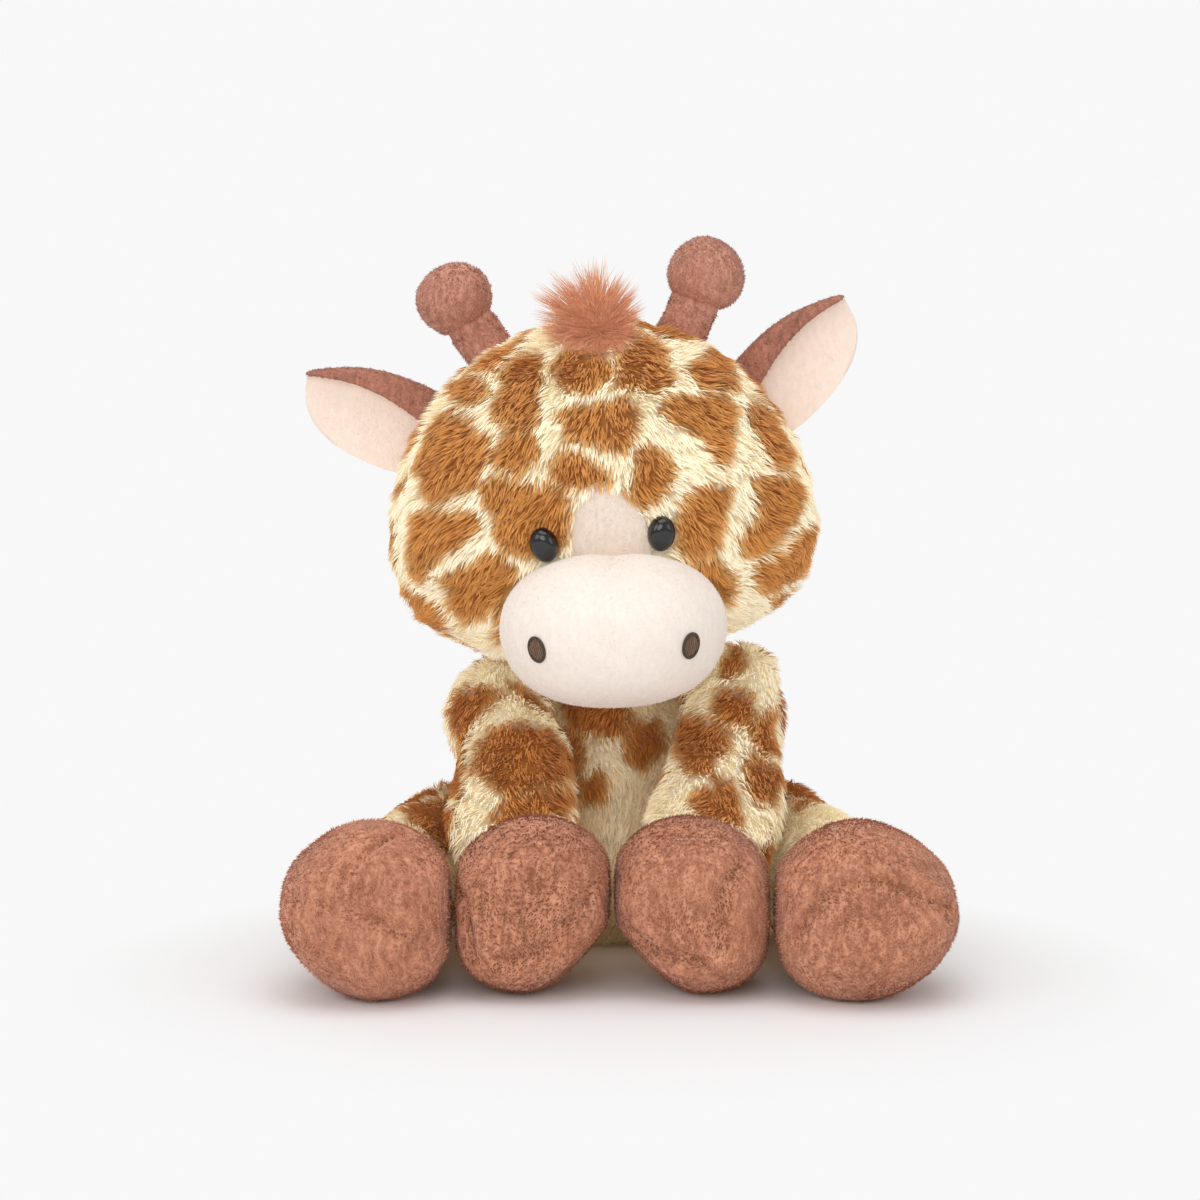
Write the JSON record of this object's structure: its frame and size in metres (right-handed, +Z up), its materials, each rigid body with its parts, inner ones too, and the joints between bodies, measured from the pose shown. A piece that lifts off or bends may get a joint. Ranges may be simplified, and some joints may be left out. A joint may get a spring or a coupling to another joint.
{
  "type": "plush giraffe",
  "caption": "Seated soft plush giraffe with a big round head, cream muzzle, folded ears, knobbed ossicones, four brown hooves and a small tufted tail.",
  "frame": {"origin": "middle of the flat seat under the torso, on the surface that the toy sits on", "axes": "+Z up out of the seat, -Y the way the face and the soles look, +X to the animal's own left"},
  "size_m": [0.2139, 0.2049, 0.2349],
  "materials": {
    "spotted_fur": "soft fur of about 8 mm, brown patches on cream",
    "cream_plush": "short dense velvet pile",
    "blaze_plush": "short dense velvet pile",
    "brown_plush": "short dense velvet pile",
    "hoof_plush": "short dense velvet pile",
    "long_pile": "long loose pile of about 15 mm",
    "fibre_filling": "polyester fibre",
    "pellet_bag": "woven bag of plastic pellets",
    "stitching": "satin stitched thread",
    "eye_gloss": "polished",
    "washer_plastic": "moulded"
  },
  "bodies": {
    "torso": {"torso_front": "spotted_fur", "torso_back": "spotted_fur", "seat_panel": "spotted_fur", "torso_filling": "fibre_filling", "pellet_bag": "pellet_bag"},
    "neck": {"neck_cover": "spotted_fur"},
    "neck_core": {"neck_filling": "fibre_filling"},
    "head": {"head_gusset": "spotted_fur", "head_throat": "spotted_fur", "head_side_right": "spotted_fur", "head_side_left": "spotted_fur", "face_blaze": "blaze_plush", "head_filling": "fibre_filling", "muzzle_right": "cream_plush", "muzzle_left": "cream_plush", "nostril_right": "stitching", "nostril_left": "stitching", "eye_right": "eye_gloss", "eye_left": "eye_gloss", "eye_washer_right": "washer_plastic", "eye_washer_left": "washer_plastic", "forelock": "long_pile", "mane": "long_pile"},
    "ear_right": {"ear_right_back": "brown_plush", "ear_right_lining": "cream_plush"},
    "ear_left": {"ear_left_back": "brown_plush", "ear_left_lining": "cream_plush"},
    "ossicone_right": {"ossicone_right_stem": "brown_plush", "ossicone_right_knob": "brown_plush", "ossicone_right_filling": "fibre_filling"},
    "ossicone_left": {"ossicone_left_stem": "brown_plush", "ossicone_left_knob": "brown_plush", "ossicone_left_filling": "fibre_filling"},
    "arm_right": {"arm_right_sleeve": "spotted_fur", "arm_right_hoof": "hoof_plush", "arm_right_sole": "hoof_plush", "arm_right_filling": "fibre_filling"},
    "arm_left": {"arm_left_sleeve": "spotted_fur", "arm_left_hoof": "hoof_plush", "arm_left_sole": "hoof_plush", "arm_left_filling": "fibre_filling"},
    "leg_right": {"leg_right_sleeve": "spotted_fur", "leg_right_hoof": "hoof_plush", "leg_right_sole": "hoof_plush", "leg_right_filling": "fibre_filling"},
    "leg_left": {"leg_left_sleeve": "spotted_fur", "leg_left_hoof": "hoof_plush", "leg_left_sole": "hoof_plush", "leg_left_filling": "fibre_filling"},
    "tail": {"tail_cord": "spotted_fur", "tail_tuft": "long_pile"}
  },
  "joints": [
    {"name": "neck_turn", "type": "hinge", "parent": "torso", "child": "neck", "pos_m": [0, 0, 0.095], "axis": [0, 0, 1], "range_deg": [-35, 35]},
    {"name": "head_nod", "type": "hinge", "parent": "neck", "child": "neck_core", "pos_m": [0, 0, 0.095], "axis": [-1, 0, 0], "range_deg": [-5, 16]},
    {"name": "head_tilt", "type": "hinge", "parent": "neck_core", "child": "head", "pos_m": [0, 0, 0.095], "axis": [0, 1, 0], "range_deg": [-8, 10]},
    {"name": "ear_right_flex", "type": "hinge", "parent": "head", "child": "ear_right", "pos_m": [-0.06167, -0.01, 0.1672], "axis": [0.1513, 0, 0.9885], "range_deg": [-15, 15], "stiffness_Nm_per_rad": 0.01},
    {"name": "ear_left_flex", "type": "hinge", "parent": "head", "child": "ear_left", "pos_m": [0.04643, -0.01, 0.17761], "axis": [-0.5461, 0, 0.8377], "range_deg": [-15, 15], "stiffness_Nm_per_rad": 0.01},
    {"name": "ossicone_right_flex", "type": "hinge", "parent": "head", "child": "ossicone_right", "pos_m": [-0.04101, -0.015, 0.19581], "axis": [0.9954, 0, 0.0958], "range_deg": [-12, 12], "stiffness_Nm_per_rad": 0.03},
    {"name": "ossicone_left_flex", "type": "hinge", "parent": "head", "child": "ossicone_left", "pos_m": [0.0207, -0.015, 0.20176], "axis": [0.9954, 0, 0.0958], "range_deg": [-12, 12], "stiffness_Nm_per_rad": 0.03},
    {"name": "arm_right_swing", "type": "hinge", "parent": "torso", "child": "arm_right", "pos_m": [-0.0385, -0.015, 0.076], "axis": [-1, 0, 0], "range_deg": [0, 22]},
    {"name": "arm_left_swing", "type": "hinge", "parent": "torso", "child": "arm_left", "pos_m": [0.0385, -0.015, 0.076], "axis": [-1, 0, 0], "range_deg": [0, 22]},
    {"name": "leg_right_swing", "type": "hinge", "parent": "torso", "child": "leg_right", "pos_m": [-0.0555, 0, 0.0265], "axis": [-0.7071, 0, -0.7071], "range_deg": [0, 25]},
    {"name": "leg_left_swing", "type": "hinge", "parent": "torso", "child": "leg_left", "pos_m": [0.0555, 0, 0.0265], "axis": [-0.7071, 0, 0.7071], "range_deg": [0, 25]},
    {"name": "tail_lift", "type": "hinge", "parent": "torso", "child": "tail", "pos_m": [0, 0.0435, 0.04], "axis": [1, 0, 0], "range_deg": [0, 40]}
  ]
}
